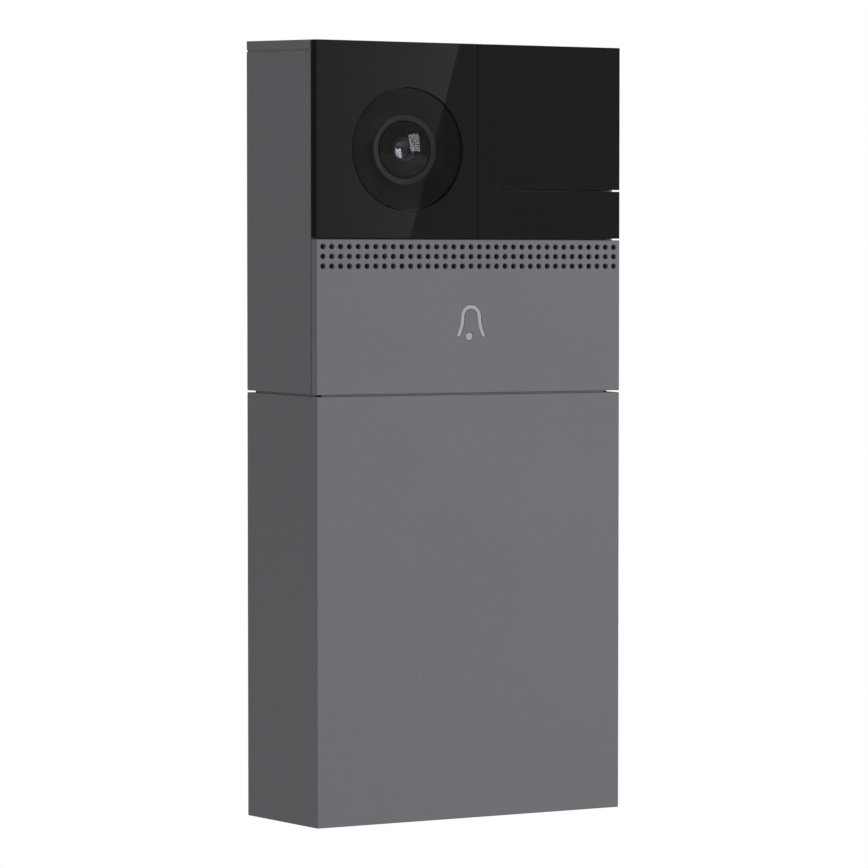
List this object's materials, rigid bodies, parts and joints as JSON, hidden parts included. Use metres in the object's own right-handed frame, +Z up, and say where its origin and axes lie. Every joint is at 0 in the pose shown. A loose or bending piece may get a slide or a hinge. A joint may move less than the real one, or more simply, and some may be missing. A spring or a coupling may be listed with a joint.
{
  "type": "video doorbell",
  "caption": "Upright battery video doorbell: a grey two-part case with a gloss black camera head and a large bell button, hung on a hooked wall bracket.",
  "frame": {"origin": "centre of the wall bracket's back face, on the wall", "axes": "+Z up along the long side, +Y into the wall, front faces -Y"},
  "size_m": [0.0622, 0.0277, 0.139],
  "materials": {
    "case_grey": "fine textured matt",
    "gloss_black": "polished",
    "moulded_black": "satin moulded",
    "lens_glass": "coated",
    "sign_grey": "satin",
    "steel": "satin",
    "contact_gold": "plated",
    "board_green": "solder mask",
    "soft_rubber": "matt",
    "milk_plastic": "translucent satin",
    "battery_wrap": "shrink film",
    "speaker_paper": "pressed paper"
  },
  "bodies": {
    "bracket": {"wall_bracket": "moulded_black"},
    "main": {"rear_cover": "case_grey", "chassis": "moulded_black", "case_screw_upper_left": "steel", "case_screw_upper_right": "steel", "case_screw_lower_left": "steel", "case_screw_lower_right": "steel", "terminal_block": "moulded_black", "terminal_screw_left": "steel", "terminal_screw_right": "steel", "upper_housing": "case_grey", "top_cap": "case_grey", "camera_window": "gloss_black", "motion_cover": "gloss_black", "sensor_strip": "gloss_black", "lens_cover": "lens_glass", "lens_bezel": "gloss_black", "lens_dome": "lens_glass", "lens_barrel": "moulded_black", "inner_lens": "lens_glass", "lens_holder": "moulded_black", "image_sensor": "moulded_black", "camera_board": "board_green", "camera_connector": "milk_plastic", "infrared_board": "board_green", "infrared_lamp_left": "lens_glass", "infrared_lamp_right": "lens_glass", "motion_lens": "milk_plastic", "motion_sensor": "steel", "motion_sensor_stand": "moulded_black", "light_sensor": "moulded_black", "status_lamp": "milk_plastic", "sensor_board": "board_green", "button_switch": "moulded_black", "button_board": "board_green", "speaker_basket": "moulded_black", "speaker_cone": "speaker_paper", "speaker_magnet": "steel", "microphone": "contact_gold", "main_board": "board_green", "processor": "moulded_black", "radio_shield": "steel", "antenna": "contact_gold", "battery_pack": "battery_wrap", "battery_contacts": "contact_gold", "charging_board": "board_green", "charging_socket": "steel"},
    "button": {"button_plate": "case_grey", "bell_arch": "sign_grey", "bell_dot": "sign_grey"},
    "plunger": {"button_plunger": "soft_rubber"},
    "cover": {"lower_cover": "case_grey"},
    "security": {"security_screw": "steel"},
    "flap": {"charging_flap": "soft_rubber"},
    "reset": {"reset_button": "milk_plastic"}
  },
  "joints": [
    {"name": "lift_off", "type": "slide", "parent": "bracket", "child": "main", "axis": [0, 0, 1], "range_m": [0, 0.0055]},
    {"name": "button_press", "type": "slide", "parent": "main", "child": "button", "axis": [0, 1, 0], "range_m": [0, 0.00025], "stiffness_N_per_m": 400},
    {"name": "switch_plunger", "type": "slide", "parent": "main", "child": "plunger", "axis": [0, 1, 0], "range_m": [0, 0.00025], "stiffness_N_per_m": 100},
    {"name": "cover_slide", "type": "slide", "parent": "main", "child": "cover", "axis": [0, 0, -1], "range_m": [0, 0.078]},
    {"name": "security_screw_turn", "type": "hinge", "parent": "cover", "child": "security", "pos_m": [0, -0.0215, -0.06843], "axis": [0, 0, 1], "continuous": true},
    {"name": "flap_hinge", "type": "hinge", "parent": "cover", "child": "flap", "pos_m": [0, -0.0075, -0.06846], "axis": [1, 0, 0], "range_deg": [0, 100]},
    {"name": "reset_press", "type": "slide", "parent": "main", "child": "reset", "axis": [0, 0, 1], "range_m": [0, 0.0004], "stiffness_N_per_m": 300}
  ],
  "couplings": [
    {"joint": "switch_plunger", "follows": "button_press", "ratio": 1}
  ]
}
